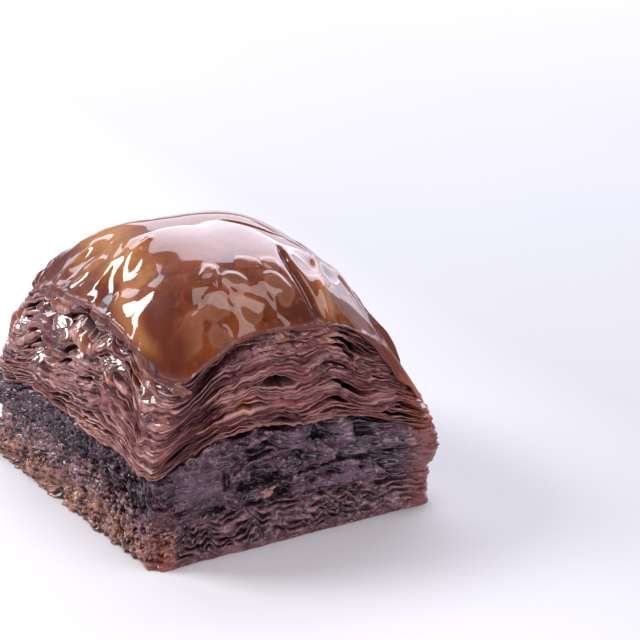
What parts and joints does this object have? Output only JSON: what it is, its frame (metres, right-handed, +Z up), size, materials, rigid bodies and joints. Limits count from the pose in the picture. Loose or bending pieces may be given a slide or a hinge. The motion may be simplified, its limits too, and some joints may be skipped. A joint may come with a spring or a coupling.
{
  "type": "baklava piece",
  "caption": "Square-cut piece of cocoa baklava: soaked base sheets, a dark chocolate filling and a flaky stack under a domed, glazed crust.",
  "frame": {"origin": "on the tray face, under the middle of the piece's bounding box", "axes": "+Z up through the sheets, +Y along the longer cut edge, so the clean cut faces -Y and the torn one -X"},
  "size_m": [0.049, 0.0548, 0.0395],
  "materials": {
    "soaked_pastry": "pressed cocoa pastry sheets soaked in syrup, dull and wet in turns",
    "chocolate": "dark chocolate and nut filling, craggy, with a moist sheen",
    "cocoa_pastry": "thin cocoa pastry sheets under an amber-brown crust with a strong syrup glaze"
  },
  "bodies": {
    "root": {"base_sheets": "soaked_pastry", "chocolate_filling": "chocolate", "flaky_stack": "cocoa_pastry"}
  },
  "joints": []
}
